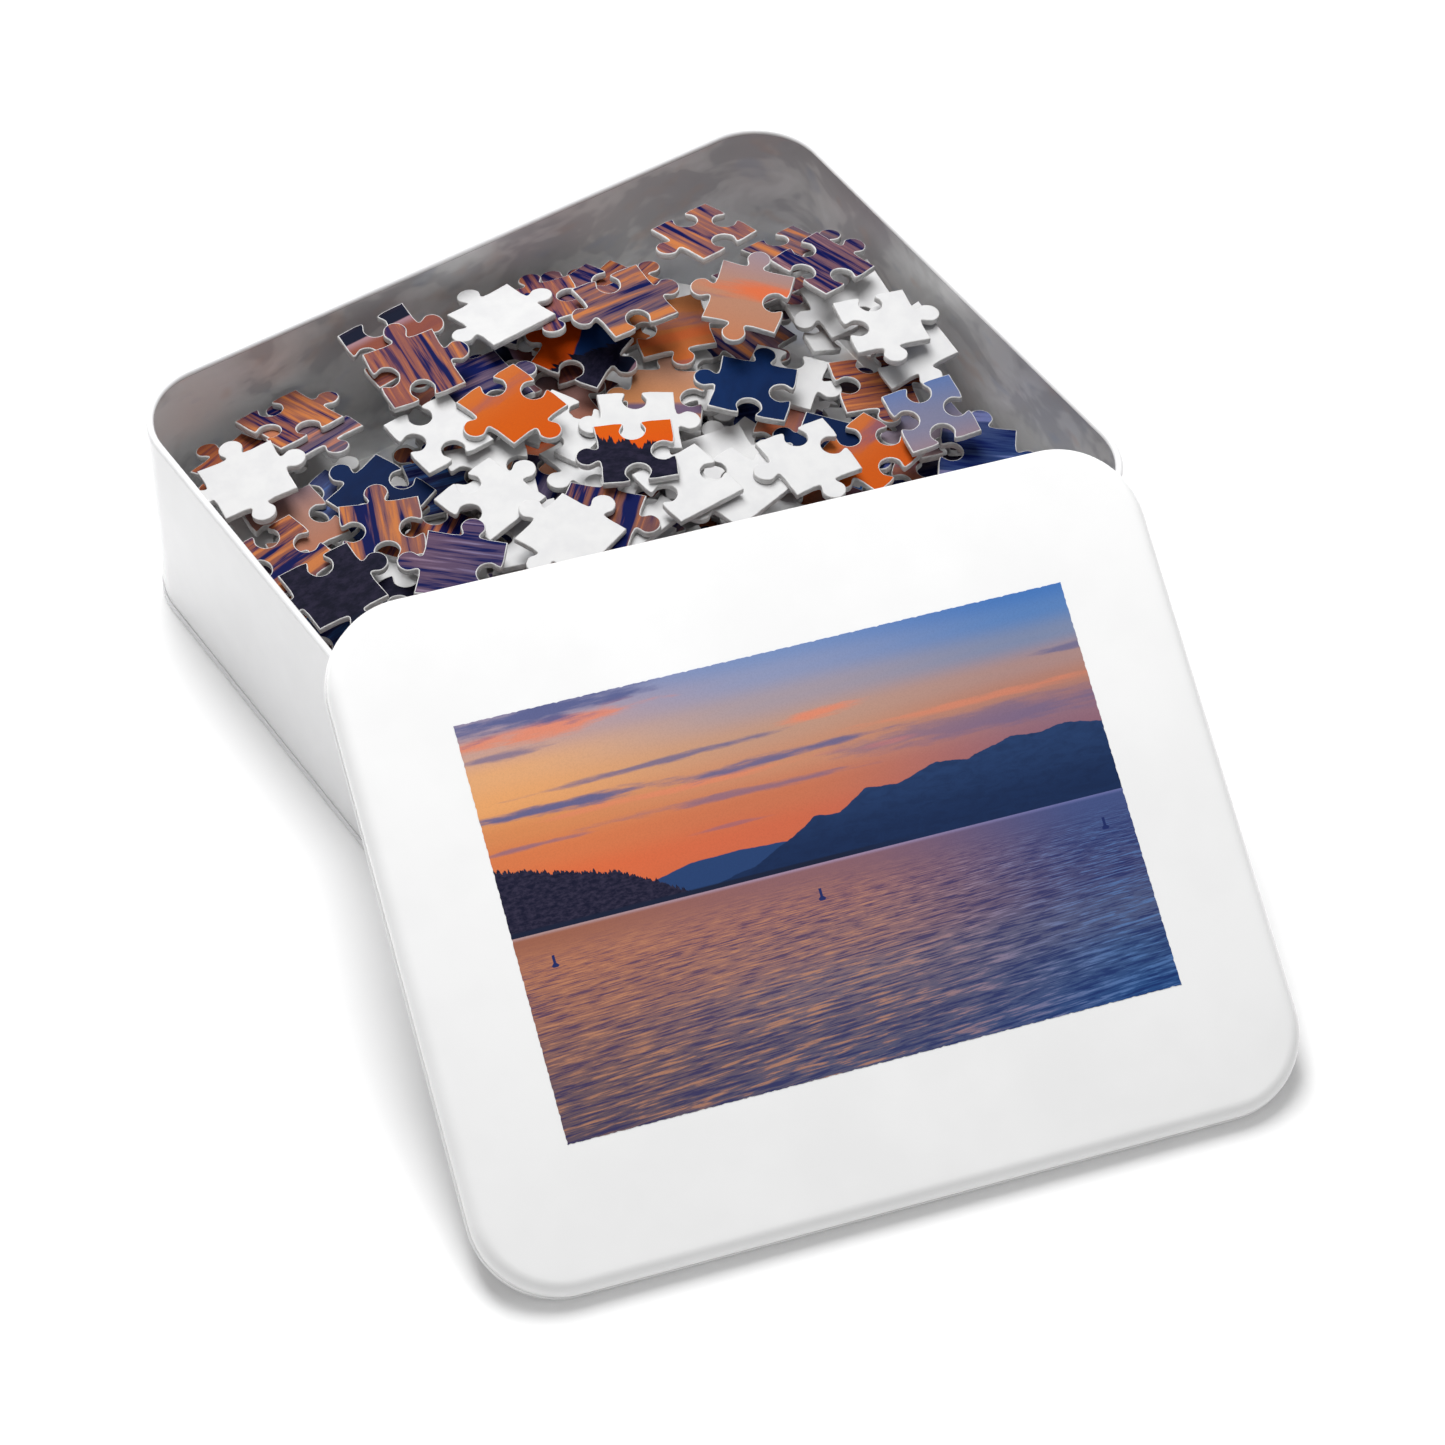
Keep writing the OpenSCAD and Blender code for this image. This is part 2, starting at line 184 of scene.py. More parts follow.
# Colours up the sky and up the water at the picture's left, middle and right: place, from 0 to 1, and colour.
SKY_LEFT = ((0.00, (214, 108, 66)), (0.20, (222, 112, 68)), (0.34, (216, 124, 78)), (0.46, (214, 138, 88)),
            (0.60, (228, 164, 108)), (0.74, (224, 168, 120)), (0.86, (196, 158, 146)),
            (1.00, (160, 148, 168)))
SKY_MIDDLE = ((0.00, (204, 102, 72)), (0.20, (206, 108, 78)), (0.34, (200, 118, 86)),
              (0.50, (200, 142, 112)), (0.64, (190, 150, 130)), (0.78, (166, 152, 160)),
              (0.90, (142, 150, 182)), (1.00, (122, 144, 188)))
SKY_RIGHT = ((0.00, (150, 96, 110)), (0.30, (142, 102, 118)), (0.44, (146, 112, 126)),
             (0.56, (178, 128, 112)), (0.66, (170, 138, 134)), (0.78, (126, 138, 168)),
             (0.90, (92, 130, 184)), (1.00, (74, 120, 184)))
WATER_LEFT = ((0.00, (98, 84, 98)), (0.22, (114, 92, 98)), (0.42, (134, 100, 98)), (0.64, (158, 110, 96)),
              (0.84, (176, 118, 94)), (0.98, (160, 104, 84)), (1.00, (180, 150, 150)))
WATER_MIDDLE = ((0.00, (88, 90, 118)), (0.22, (102, 94, 114)), (0.42, (124, 108, 120)),
                (0.64, (148, 112, 112)), (0.84, (152, 108, 108)), (0.98, (142, 102, 108)),
                (1.00, (166, 142, 168)))
WATER_RIGHT = ((0.00, (44, 80, 134)), (0.22, (60, 86, 132)), (0.42, (84, 94, 130)), (0.64, (74, 80, 122)),
               (0.84, (70, 82, 128)), (0.98, (72, 86, 134)), (1.00, (108, 114, 166)))
# Streaks of cloud: middle along and up, half length, half thickness, how dense, and the tilt.
DARK_CLOUDS = ((0.13, 0.985, 0.20, 0.030, 1.0, 0.04), (0.07, 0.905, 0.07, 0.010, 0.7, 0.0),
               (0.30, 0.806, 0.18, 0.008, 0.8, 0.02), (0.12, 0.760, 0.17, 0.012, 1.0, 0.0),
               (0.47, 0.752, 0.18, 0.012, 0.9, 0.03), (0.40, 0.690, 0.22, 0.009, 0.6, -0.02),
               (0.06, 0.684, 0.09, 0.006, 0.6, 0.0), (0.83, 0.722, 0.26, 0.030, 0.5, -0.03),
               (0.98, 0.846, 0.07, 0.010, 0.7, 0.0), (0.37, 0.622, 0.06, 0.005, 0.4, 0.0))
PINK_CLOUDS = ((0.12, 0.945, 0.18, 0.022, 0.8, 0.05), (0.57, 0.832, 0.08, 0.012, 0.8, 0.08),
               (0.66, 0.724, 0.04, 0.006, 0.7, 0.0), (0.84, 0.772, 0.22, 0.010, 0.5, 0.0),
               (0.30, 0.735, 0.24, 0.008, 0.6, 0.0))
# How far out a streak ends and is whole, as shares of its half size, and how deep its edge is frayed.
STREAK_END = 1.25
STREAK_CORE = 0.35
FRAY_DEPTH = 2.6
# Skylines of the land: place along the picture, and height as a share of RIDGE_SCALE.
FAR_RIDGE = ((0.0, 0.0), (0.14, 0.0), (0.22, 0.19), (0.30, 0.29), (0.38, 0.30), (0.47, 0.27), (1.0, 0.2))
RIGHT_RIDGE = ((0.0, 0.0), (0.30, 0.0), (0.40, 0.12), (0.47, 0.31), (0.51, 0.44), (0.55, 0.42),
               (0.60, 0.58), (0.65, 0.56), (0.72, 0.66), (0.77, 0.62), (0.85, 0.73), (0.90, 0.70),
               (0.94, 0.74), (1.0, 0.67))
LEFT_HILL = ((0.0, 0.66), (0.06, 0.57), (0.12, 0.47), (0.18, 0.39), (0.24, 0.22), (0.29, 0.03), (0.31, 0.0),
             (1.0, 0.0))
RIDGE_SCALE = 0.25
# Middles of the buoys, along and up, and the shape of one: half the width of its body and of its mast, how
# fast the body narrows from its widest place, how far that is under the middle, and how far the buoy
# reaches up and down.
BUOYS = ((0.055, 0.41), (0.485, 0.41), (0.955, 0.41))
BUOY_BODY = 0.0062
BUOY_MAST = 0.0022
BUOY_TAPER = 0.6
BUOY_DROP = 0.007
BUOY_TOP = 0.018
BUOY_FOOT = 0.011


def streaks(g, u, v, clouds):
    """How dense the streaks of cloud are at a point. Their edges are frayed along their length."""
    fray = g.noise(g.vector(g.math("MULTIPLY", u, 9.0), g.math("MULTIPLY", v, 46.0)), 1.0, 4.0, 0.62)
    dense = 0.0
    for along, up, half_length, half_thickness, strength, tilt in clouds:
        x = g.math("SUBTRACT", u, along)
        y = g.math("SUBTRACT", g.math("SUBTRACT", v, up), g.math("MULTIPLY", x, tilt))
        flat = g.node("VectorMath", {"operation": "LENGTH"},
                      Vector=g.vector(g.math("DIVIDE", x, half_length), g.math("DIVIDE", y, half_thickness)))
        wander = g.math("MULTIPLY", g.math("SUBTRACT", fray, 0.5), FRAY_DEPTH)
        reach = g.math("ADD", flat.outputs["Value"], wander)
        here = g.between(reach, STREAK_END, STREAK_CORE)
        dense = g.math("MAXIMUM", dense, g.math("MULTIPLY", here, strength))
    return dense


def ridge(g, u, v, points, roughness, pitch):
    """1 below a ridge's skyline, which is jagged by roughness at that many bumps along the picture."""
    height = g.math("MULTIPLY", g.curve(u, points), RIDGE_SCALE)
    bumps = g.noise(g.vector(g.math("MULTIPLY", u, pitch), 3.7), 1.0, 3.0, 0.6)
    skyline = g.math("ADD", height, g.math("MULTIPLY", g.math("SUBTRACT", bumps, 0.5), roughness))
    over = g.math("SUBTRACT", g.math("ADD", skyline, HORIZON), v)
    there = g.between(height, 0.0, 0.012)
    return g.math("MULTIPLY", g.between(over, -0.001, 0.001), there)


def buoy(g, u, v, along, up):
    """1 within a buoy: a body that narrows upwards and downwards, and a mast."""
    x = g.math("ABSOLUTE", g.math("SUBTRACT", u, along))
    y = g.math("SUBTRACT", v, up)
    from_widest = g.math("ABSOLUTE", g.math("ADD", y, BUOY_DROP))
    flare = g.math("SUBTRACT", BUOY_BODY, g.math("MULTIPLY", from_widest, BUOY_TAPER))
    inside = g.between(g.math("SUBTRACT", x, g.math("MAXIMUM", flare, BUOY_MAST)), 0.0006, -0.0006)
    below_top = g.between(y, BUOY_TOP + 0.001, BUOY_TOP - 0.001)
    above_foot = g.between(y, -BUOY_FOOT - 0.001, -BUOY_FOOT + 0.001)
    return g.math("MULTIPLY", inside, g.math("MULTIPLY", below_top, above_foot))


def sunset_lake():
    """The node group that gives the picture's colour at Place, from 0 to 1 along and up. Ripples is
    how strong the waves on the water are, and Fineness how small."""
    tree = bpy.data.node_groups.new("sunset_lake", "ShaderNodeTree")
    tree.interface.new_socket("Place", in_out="INPUT", socket_type="NodeSocketVector")
    tree.interface.new_socket("Ripples", in_out="INPUT", socket_type="NodeSocketFloat")
    tree.interface.new_socket("Fineness", in_out="INPUT", socket_type="NodeSocketFloat")
    tree.interface.new_socket("Color", in_out="OUTPUT", socket_type="NodeSocketColor")
    g = Graph(tree)
    given = tree.nodes.new("NodeGroupInput")
    place = g.parts(given.outputs["Place"])
    u, v = place[0], place[1]
    left_half = g.between(u, 0.02, 0.52)
    right_half = g.between(u, 0.46, 0.96)

    def across(value, left, middle, right):
        first_half = g.mix(left_half, g.ramp(value, left), g.ramp(value, middle))
        return g.mix(right_half, first_half, g.ramp(value, right))

    # Sky and its clouds
    height = g.math("DIVIDE", g.math("SUBTRACT", v, HORIZON), 1 - HORIZON, clamp=True)
    sky = across(height, SKY_LEFT, SKY_MIDDLE, SKY_RIGHT)
    sky = g.mix(streaks(g, u, v, PINK_CLOUDS), sky, srgb(226, 136, 104))
    sky = g.mix(g.math("MULTIPLY", streaks(g, u, v, DARK_CLOUDS), 0.92), sky, srgb(88, 96, 142))

    # Land, from the farthest ridge to the nearest hill
    woods = g.noise(g.vector(g.math("MULTIPLY", u, 90.0), g.math("MULTIPLY", v, 120.0)), 1.0, 4.0, 0.7)
    slopes = g.noise(g.vector(g.math("MULTIPLY", u, 34.0), g.math("MULTIPLY", v, 60.0)), 1.0, 4.0, 0.6, 0.6)
    land = g.mix(ridge(g, u, v, FAR_RIDGE, 0.006, 30.0), sky, srgb(44, 70, 116))
    mountain = g.mix(g.between(height, 0.05, 0.32), srgb(30, 50, 88), srgb(42, 66, 108))
    mountain = g.mix(g.math("MULTIPLY", g.between(slopes, 0.35, 0.7), 0.35), mountain, srgb(24, 38, 70))
    land = g.mix(ridge(g, u, v, RIGHT_RIDGE, 0.016, 26.0), land, mountain)
    hill = g.mix(g.between(woods, 0.35, 0.68), srgb(24, 26, 50), srgb(56, 52, 74))
    land = g.mix(ridge(g, u, v, LEFT_HILL, 0.042, 200.0), land, hill)
    shore = g.math("MULTIPLY", g.between(v, HORIZON + 0.014, HORIZON + 0.009), g.between(u, 0.70, 0.50))
    land = g.mix(shore, land, srgb(30, 38, 62))

    # Water, whose ripples are finer towards the horizon
    down = g.math("SUBTRACT", HORIZON, v)
    surface = across(g.math("DIVIDE", v, HORIZON, clamp=True), WATER_LEFT, WATER_MIDDLE, WATER_RIGHT)
    spread = g.math("ADD", g.math("MULTIPLY", g.math("MAXIMUM", down, 0.0), 14.0), 1.0)
    far_off = g.math("LOGARITHM", spread, math.e)
    fineness = given.outputs["Fineness"]
    long_way = g.math("MULTIPLY", g.math("MULTIPLY", g.math("SUBTRACT", u, 0.5), fineness),
                      g.math("ADD", 8.0, g.math("DIVIDE", 56.0, spread)))
    leaning = g.math("MULTIPLY", g.math("ADD", far_off, g.math("MULTIPLY", u, 0.16)), fineness)
    crest = g.noise(g.vector(long_way, g.math("MULTIPLY", leaning, 72.0)), 1.0, 4.0, 0.6, 0.3)
    swell = g.noise(g.vector(g.math("MULTIPLY", long_way, 0.28), g.math("MULTIPLY", leaning, 24.0), 5.0),
                    1.0, 2.0, 0.5, 0.3)
    wave = g.math("ADD", g.math("MULTIPLY", crest, 0.8), g.math("MULTIPLY", swell, 0.3))
    amount = g.math("MULTIPLY", given.outputs["Ripples"], g.between(down, 0.0, 0.12))
    glow = g.mix(right_half, srgb(206, 146, 108), srgb(96, 134, 190))
    surface = g.mix(g.math("MULTIPLY", g.between(wave, 0.56, 0.68), amount), surface, glow)
    surface = g.mix(g.math("MULTIPLY", g.between(wave, 0.55, 0.45), amount), surface, srgb(20, 36, 98))
    for along, up in BUOYS:
        surface = g.mix(buoy(g, u, v, along, up), surface, srgb(38, 50, 104))

    made = g.mix(g.between(down, -0.0008, 0.0008), land, surface)
    result = tree.nodes.new("NodeGroupOutput")
    g.put(result.inputs["Color"], made)
    return tree


PICTURE = sunset_lake()


# ---- materials ----
def material(name, colour, roughness, bump=None, distance=0.0, **sockets):
    """A Principled material. colour, bump and the other sockets' values may be functions of its graph,
    and distance is the height of the bumps in metres."""
    made = bpy.data.materials.new(name)
    made.use_nodes = True
    g = Graph(made.node_tree)
    shader = made.node_tree.nodes["Principled BSDF"]
    g.put(shader.inputs["Base Color"], colour(g) if callable(colour) else colour)
    shader.inputs["Roughness"].default_value = roughness
    for socket, value in sockets.items():
        g.put(shader.inputs[socket.replace("_", " ")], value(g) if callable(value) else value)
    if bump:
        made_bump = g.node("Bump", Strength=1.0, Distance=distance, Height=bump(g))
        g.put(shader.inputs["Normal"], made_bump.outputs[0])
    return made


def object_place(g):
    """The point's place on its own piece, in metres."""
    return g.node("TexCoord").outputs["Object"]


# How dark the paper's grain makes the ink at most.
GRAIN_SHARE = 0.08


def picture_at(ripples, fineness, depth, value, saturation):
    """The picture's colour at the piece's own picture coordinates, with a little paper grain in it.
    Depth above 1 makes the inks stronger, value below 1 darker, and saturation above 1 brighter."""
    def colour(g):
        place = g.node("Attribute", {"attribute_name": "picture"}).outputs["Vector"]
        group = g.node("Group")
        group.node_tree = PICTURE
        g.put(group.inputs["Place"], place)
        group.inputs["Ripples"].default_value = ripples
        group.inputs["Fineness"].default_value = fineness
        ink = g.node("Gamma", Color=group.outputs[0], Gamma=depth).outputs[0]
        ink = g.node("HueSaturation", Value=value, Saturation=saturation, Color=ink).outputs[0]
        grain = g.between(g.noise(object_place(g), 2600.0, 2.0, 0.6), 0.35, 0.75)
        return g.mix(g.math("MULTIPLY", grain, GRAIN_SHARE), ink, srgb(20, 20, 28))
    return colour


def fibres(scale):
    """The felted surface of card, at that many fibres to the metre."""
    return lambda g: g.noise(object_place(g), scale, 4.0, 0.65, 0.8)


def mottled(dark, light, scale):
    """Soft patches between two tones, at that many to the metre."""
    return lambda g: g.mix(g.between(g.noise(object_place(g), scale, 3.0, 0.6), 0.3, 0.7), dark, light)


def drawn_out(g, level, upright):
    """The point's place with its level and its upright directions scaled apart, for streaky noise."""
    place = g.parts(object_place(g))
    return g.vector(g.math("MULTIPLY", place[0], level), g.math("MULTIPLY", place[1], level),
                    g.math("MULTIPLY", place[2], upright))


def layered_board(g):
    """The cut side of greyboard lined with white paper: faint layers and loose fibres."""
    layers = g.noise(drawn_out(g, 500.0, 2600.0), 1.0, 3.0, 0.6)
    return g.mix(g.between(layers, 0.3, 0.72), srgb(184, 183, 182), srgb(214, 214, 214))


# Tones of the painted reflections in the bare tinplate, up to a near-white painted highlight.
PAINTED_REFLECTION_TONES = ((0.0, (176, 178, 180)), (0.42, (214, 214, 216)), (0.5, (240, 240, 240)),
                  (0.6, (254, 254, 254)))


def painted_blurred_reflections(g):
    """Tinplate with painted blurred reflections: a grey sheen with soft clouds of brown and blue drawn out
    along the wall.
    """
    tone = g.ramp(g.noise(drawn_out(g, 42.0, 64.0), 1.0, 3.0, 0.55, 0.4), PAINTED_REFLECTION_TONES)
    # The brown and the blue patches are painted reflections as well.
    patch = g.noise(drawn_out(g, 60.0, 90.0), 1.0, 2.0, 0.5)
    tone = g.mix(g.math("MULTIPLY", g.between(patch, 0.56, 0.72), 0.5), tone, srgb(226, 206, 196))
    return g.mix(g.math("MULTIPLY", g.between(patch, 0.42, 0.28), 0.4), tone, srgb(186, 196, 214))


def orange_peel(g):
    """The slight waviness of stoved paint."""
    return g.noise(object_place(g), 420.0, 2.0, 0.5)


def rolled_sheet(g):
    """Fine lines along the wall, from the rolling mill."""
    return g.noise(drawn_out(g, 60.0, 900.0), 1.0, 2.0, 0.5)


MICRON = 0.000001
LID_INKS = picture_at(ripples=0.62, fineness=1.0, depth=1.04, value=0.98, saturation=1.0)
CARD_INKS = picture_at(ripples=1.0, fineness=0.4, depth=1.25, value=0.78, saturation=1.08)
ENAMEL = material("white_enamel", mottled(srgb(240, 240, 240), srgb(244, 244, 244), 30.0), roughness=0.24,
                  bump=orange_peel, distance=10 * MICRON, Coat_Weight=0.3, Coat_Roughness=0.12)
# A darker copy of the lid's white enamel, used on the tin's wall and base seam: painted shade.
SHADED_WALL_ENAMEL = material("white_enamel_wall_painted_shade", mottled(srgb(226, 226, 227), srgb(231, 231, 232), 30.0),
                       roughness=0.24, bump=orange_peel, distance=10 * MICRON, Coat_Weight=0.3,
                       Coat_Roughness=0.12)
# The bare tinplate's colour holds painted blurred reflections and a painted highlight.
TINPLATE = material("bare_tinplate", painted_blurred_reflections, roughness=0.42, bump=rolled_sheet,
                    distance=6 * MICRON, Metallic=0.15)
LID_PRINT = material("printed_lid", LID_INKS, roughness=0.42, bump=orange_peel, distance=10 * MICRON,
                     Specular_IOR_Level=0.08)
CARD_PICTURE = material("printed_card", CARD_INKS, roughness=0.6, bump=fibres(1800.0), distance=10 * MICRON,
                        Specular_IOR_Level=0.06)
CARD_BACK = material("white_card", mottled(srgb(196, 196, 197), srgb(202, 202, 202), 160.0), roughness=0.7,
                     bump=fibres(900.0), distance=6 * MICRON, Specular_IOR_Level=0.2)
CARD_EDGE = material("cut_card", layered_board, roughness=0.75, bump=fibres(1500.0), distance=20 * MICRON,
                     Specular_IOR_Level=0.2)


# ---- shapes ----
def new_piece(name, vertices, faces, materials, body, replaced, indices=None, smooth=True):
    """Makes a mesh piece in the frame, in metres, that rides on a body and stands for CAD nodes."""
    mesh = bpy.data.meshes.new(name)
    mesh.from_pydata(vertices, [], faces)
    for m in materials:
        mesh.materials.append(m)
    if indices is not None:
        mesh.polygons.foreach_set("material_index", indices)
    mesh.polygons.foreach_set("use_smooth", [smooth] * len(faces) if isinstance(smooth, bool) else smooth)
    mesh.update()
    piece = bpy.data.objects.new(name, mesh)
    bpy.context.scene.collection.objects.link(piece)
    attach(piece, body)
    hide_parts(*replaced)
    return piece


CORNER_STEPS = 20
SIDE_STEPS = 10


def rounded_path(length, width, radius):
    """Points round a rounded rectangle, each as a centre and an outward direction."""
    reach = np.array([length / 2 - radius, width / 2 - radius])
    centres = [reach * signs for signs in ((1, 1), (-1, 1), (-1, -1), (1, -1))]
    path = []
    for k, centre in enumerate(centres):
        for n in range(CORNER_STEPS + 1):
            a = math.radians(90 * k + 90 * n / CORNER_STEPS)
            path.append((centre, np.array([math.cos(a), math.sin(a)])))
        following = centres[(k + 1) % 4]
        out = path[-1][1]
        for n in range(1, SIDE_STEPS):
            path.append((centre + (following - centre) * n / SIDE_STEPS, out))
    return path


def swept(path, radius, profile, closed):
    """Vertices and faces of a profile of (outward, up) points, in millimetres, carried round a path."""
    vertices = [[*(centre + (radius + out) * way), up] for out, up in profile for centre, way in path]
    n, m = len(path), len(profile)
    faces = []
    for j in range(m if closed else m - 1):
        k = (j + 1) % m
        for i in range(n):
            h = (i + 1) % n
            faces.append((j * n + i, j * n + h, k * n + h, k * n + i))
    return vertices, faces


def arc(centre, radius, start, end, steps):
    """Profile points round a centre from one angle to another, in degrees."""
    return [(centre[0] + radius * math.cos(math.radians(start + (end - start) * k / steps)),
             centre[1] + radius * math.sin(math.radians(start + (end - start) * k / steps)))
            for k in range(steps + 1)]


def in_metres(vertices, matrix=None):
    scaled = [Vector(v) * MM for v in vertices]
    return [matrix @ v for v in scaled] if matrix else scaled


# ---- the tin ----
wall_low, wall_high = (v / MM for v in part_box("tin_wall"))
TIN_LENGTH = wall_high.x - wall_low.x
TIN_WIDTH = wall_high.y - wall_low.y
TIN_HEIGHT = wall_high.z


def tin_wall():
    """The wall with its rim curled inwards: white outside and over the curl, in an enamel darkened by painted
    shade, bare inside.
    """
    bead = RIM_BEAD / 2
    middle = TIN_HEIGHT - bead
    low_band, high_band = 20.0, 40.0
    outside = [(0.0, up) for up in (wall_low.z, SEAM_HEIGHT + 0.4, low_band, high_band, middle - 0.6)]
    curl = arc((-bead, middle), bead, 0, 180, 14) + arc((-bead, middle), bead, 190, 285, 7)
    inside = [(-SHEET, up) for up in (middle - 1.25, high_band, low_band, wall_low.z)]
    profile = outside + curl + inside
    path = rounded_path(TIN_LENGTH, TIN_WIDTH, CORNER_RADIUS)
    vertices, faces = swept(path, CORNER_RADIUS, profile, True)
    bare_from = (len(outside) + len(curl) - 1) * len(path)
    indices = [1 if k >= bare_from else 0 for k in range(len(faces))]
    new_piece("tin_wall_detail", in_metres(vertices), faces, [SHADED_WALL_ENAMEL, TINPLATE], "tin", ["tin_wall"],
              indices)


def tin_base():
    """The base plate, dished inside its folded seam."""
    fold = 0.35
    seam = ([(SEAM_PROUD - fold, 0.0)] + arc((SEAM_PROUD - fold, fold), fold, -90, 0, 6)[1:]
            + arc((SEAM_PROUD - 0.24, SEAM_HEIGHT - 0.3), 0.24, 0, 150, 6)
            + [(0.05, SEAM_HEIGHT - 0.7), (0.03, 1.0), (-SEAM_INSIDE + 0.2, 1.0)])
    plate = [(-SEAM_INSIDE - 0.2, BASE_RISE + SHEET), (-4.0, BASE_RISE + SHEET)]
    under = [(-4.0, BASE_RISE), (-SEAM_INSIDE - 0.3, BASE_RISE), (-SEAM_INSIDE, BASE_RISE - 0.4),
             (-SEAM_INSIDE, fold)]
    foot = arc((-SEAM_INSIDE + fold, fold), fold, 180, 270, 6)[1:]
    path = rounded_path(TIN_LENGTH, TIN_WIDTH, CORNER_RADIUS)
    vertices, faces = swept(path, CORNER_RADIUS, seam + plate + under + foot, True)
    n = len(path)
    # The plate's middle is one face above and one below, in place of the band between their rings.
    top_ring = len(seam) + 1
    bottom_ring = top_ring + 1
    faces = [f for k, f in enumerate(faces) if not top_ring * n <= k < bottom_ring * n]
    faces.append(tuple(top_ring * n + i for i in range(n)))
    faces.append(tuple(bottom_ring * n + i for i in reversed(range(n))))
    bare_from = (len(seam) - 3) * n
    indices = [1 if k >= bare_from else 0 for k in range(len(faces))]
    # The seam has the darker copy of the enamel: painted shade.
    new_piece("tin_base_detail", in_metres(vertices), faces, [SHADED_WALL_ENAMEL, TINPLATE], "tin", ["tin_base"],
              indices)


# ---- the lid ----
def lid_place():
    """The frame at the middle of the lid's top face, found from the printed picture's own mesh."""
    turn = Matrix.Rotation(math.radians(LID_TURN), 4, "Z") @ Matrix.Rotation(math.radians(LID_SLOPE), 4, "X")
    low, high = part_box("lid_picture")
    middle = (low + high) / 2
    return Matrix.Translation(middle) @ turn @ Matrix.Translation((0, 0, -PRINT_SHEET / 2 * MM))


def lid_shell():
    """The drawn lid: a flat top, a rounded edge, a short skirt, and a curl with a groove above it."""
    radius = CORNER_RADIUS + LID_OVERHANG
    length = TIN_LENGTH + 2 * LID_OVERHANG
    width = TIN_WIDTH + 2 * LID_OVERHANG
    edge = LID_EDGE_RADIUS
    bead = LID_BEAD / 2
    bead_middle = (LID_BEAD_PROUD - bead, bead - LID_DEPTH)
    far_ring, near_ring = 9.0, 3.0
    top = [(-edge - gap, 0.0) for gap in (far_ring, near_ring, 0.8)]
    shoulder = arc((-edge, -edge), edge, 90, 0, 14)
    skirt = [(0.0, -edge - 1.0), (-0.02, bead_middle[1] + bead * 0.98)]
    curl = arc(bead_middle, bead, 68, -180, 16)
    inside = [(-SHEET - 0.5, bead_middle[1] + 0.35), (-SHEET, bead_middle[1] + 0.9)]
    inner = arc((-edge, -edge), edge - SHEET, 0, 90, 8)
    inner += [(-edge - gap, -SHEET) for gap in (near_ring, far_ring)]
    profile = top + shoulder + skirt + curl + inside + inner
    path = rounded_path(length, width, radius)
    vertices, faces = swept(path, radius, profile, False)
    n = len(path)
    last = (len(profile) - 1) * n
    faces.append(tuple(reversed(range(n))))
    faces.append(tuple(last + i for i in range(n)))
    bare_from = (len(top) + len(shoulder) + len(skirt) + len(curl)) * n
    indices = [1 if k >= bare_from else 0 for k in range(len(faces))]
    # The lid's flat top, the last face but one, is outside too.
    indices[-2] = 0
    new_piece("lid_shell_detail", in_metres(vertices, lid_place()), faces, [ENAMEL, TINPLATE], "lid",
              ["lid_shell"], indices)


def lid_print():
    """The printed picture, a thin film whose edge is finely frayed."""
    step = 0.75
    fray = 0.22
    half = np.array([PRINT_LENGTH / 2, PRINT_WIDTH / 2])
    outline = []
    corners = [half * signs for signs in ((-1, -1), (1, -1), (1, 1), (-1, 1))]
    inwards = [np.array(way) for way in ((0, 1), (-1, 0), (0, -1), (1, 0))]
    for k, (start, inward) in enumerate(zip(corners, inwards)):
        end = corners[(k + 1) % 4]
        count = int(np.linalg.norm(end - start) / step)
        for n in range(count):
            wander = fray * (0.5 + 0.5 * math.sin(n * 2.4 + 1.7 * k)) * (0.6 + 0.4 * math.sin(n * 0.9 + k))
            outline.append(start + (end - start) * n / count + inward * (wander if n else 0))
    n = len(outline)
    film_top = 0.9 * PRINT_SHEET
    film_foot = 0.2 * PRINT_SHEET
    top = [[x, y, film_top] for x, y in outline]
    low = [[x, y, film_foot] for x, y in outline]
    faces = [tuple(range(n))] + [(n + i, n + (i + 1) % n, (i + 1) % n, i) for i in range(n)]
    piece = new_piece("lid_print_detail", in_metres(top + low, lid_place()), faces, [LID_PRINT], "lid",
                      ["lid_picture"], smooth=False)
    place = [(x / PRINT_LENGTH + 0.5, y / PRINT_WIDTH + 0.5, 0.0) for x, y, z in top + low]
    picture_coordinates(piece, place)


def picture_coordinates(piece, place):
    """Gives each vertex its place in the picture, from 0 to 1 along and up."""
    attribute = piece.data.attributes.new("picture", "FLOAT_VECTOR", "POINT")
    attribute.data.foreach_set("vector", np.array(place, np.float32).ravel())


# ---- the loose pieces ----
# Which way the picture runs on each piece that isn't within 45 degrees of +X: column, row and degrees.
TURNS = {(6, 5): 84, (6, 4): 64, (8, 4): 100, (9, 3): 98, (5, 6): 78, (4, 4): 98, (9, 11): -52,
         (10, 10): 132, (9, 5): 80, (10, 4): 100, (8, 5): 75, (10, 5): 95, (8, 3): 100, (11, 4): 104}
# A point of an outline is a corner of its piece when both its sides are longer than this.
LONG_SIDE = 4.0
# The least upward part of the normal of a face that belongs to a solid's upper face.
CAP_UPWARD = 0.7
TINY = 1e-9
# The rounded section of a piece, from the lower face to the upper: inset and height over the middle.
SECTION = ((0.22, -0.95), (0.06, -0.88), (0.0, -0.74), (0.0, 0.60), (0.05, 0.78), (0.15, 0.89), (0.28, 0.94),
           (0.38, 0.95))
PLAIN_SECTION = ((0.12, -0.95), (0.0, -0.75), (0.0, 0.66), (0.12, 0.88), (0.32, 0.95))
# How many bands of the section, from the top, the printed sheet wraps over.
WRAPPED = 1
# The materials of a loose piece, in their slots.
PRINTED, WHITE, CUT = range(3)
# Steps of the smooth curve from one point of the CAD outline to the next.
FINE_STEPS = 3
PLAIN_STEPS = 1


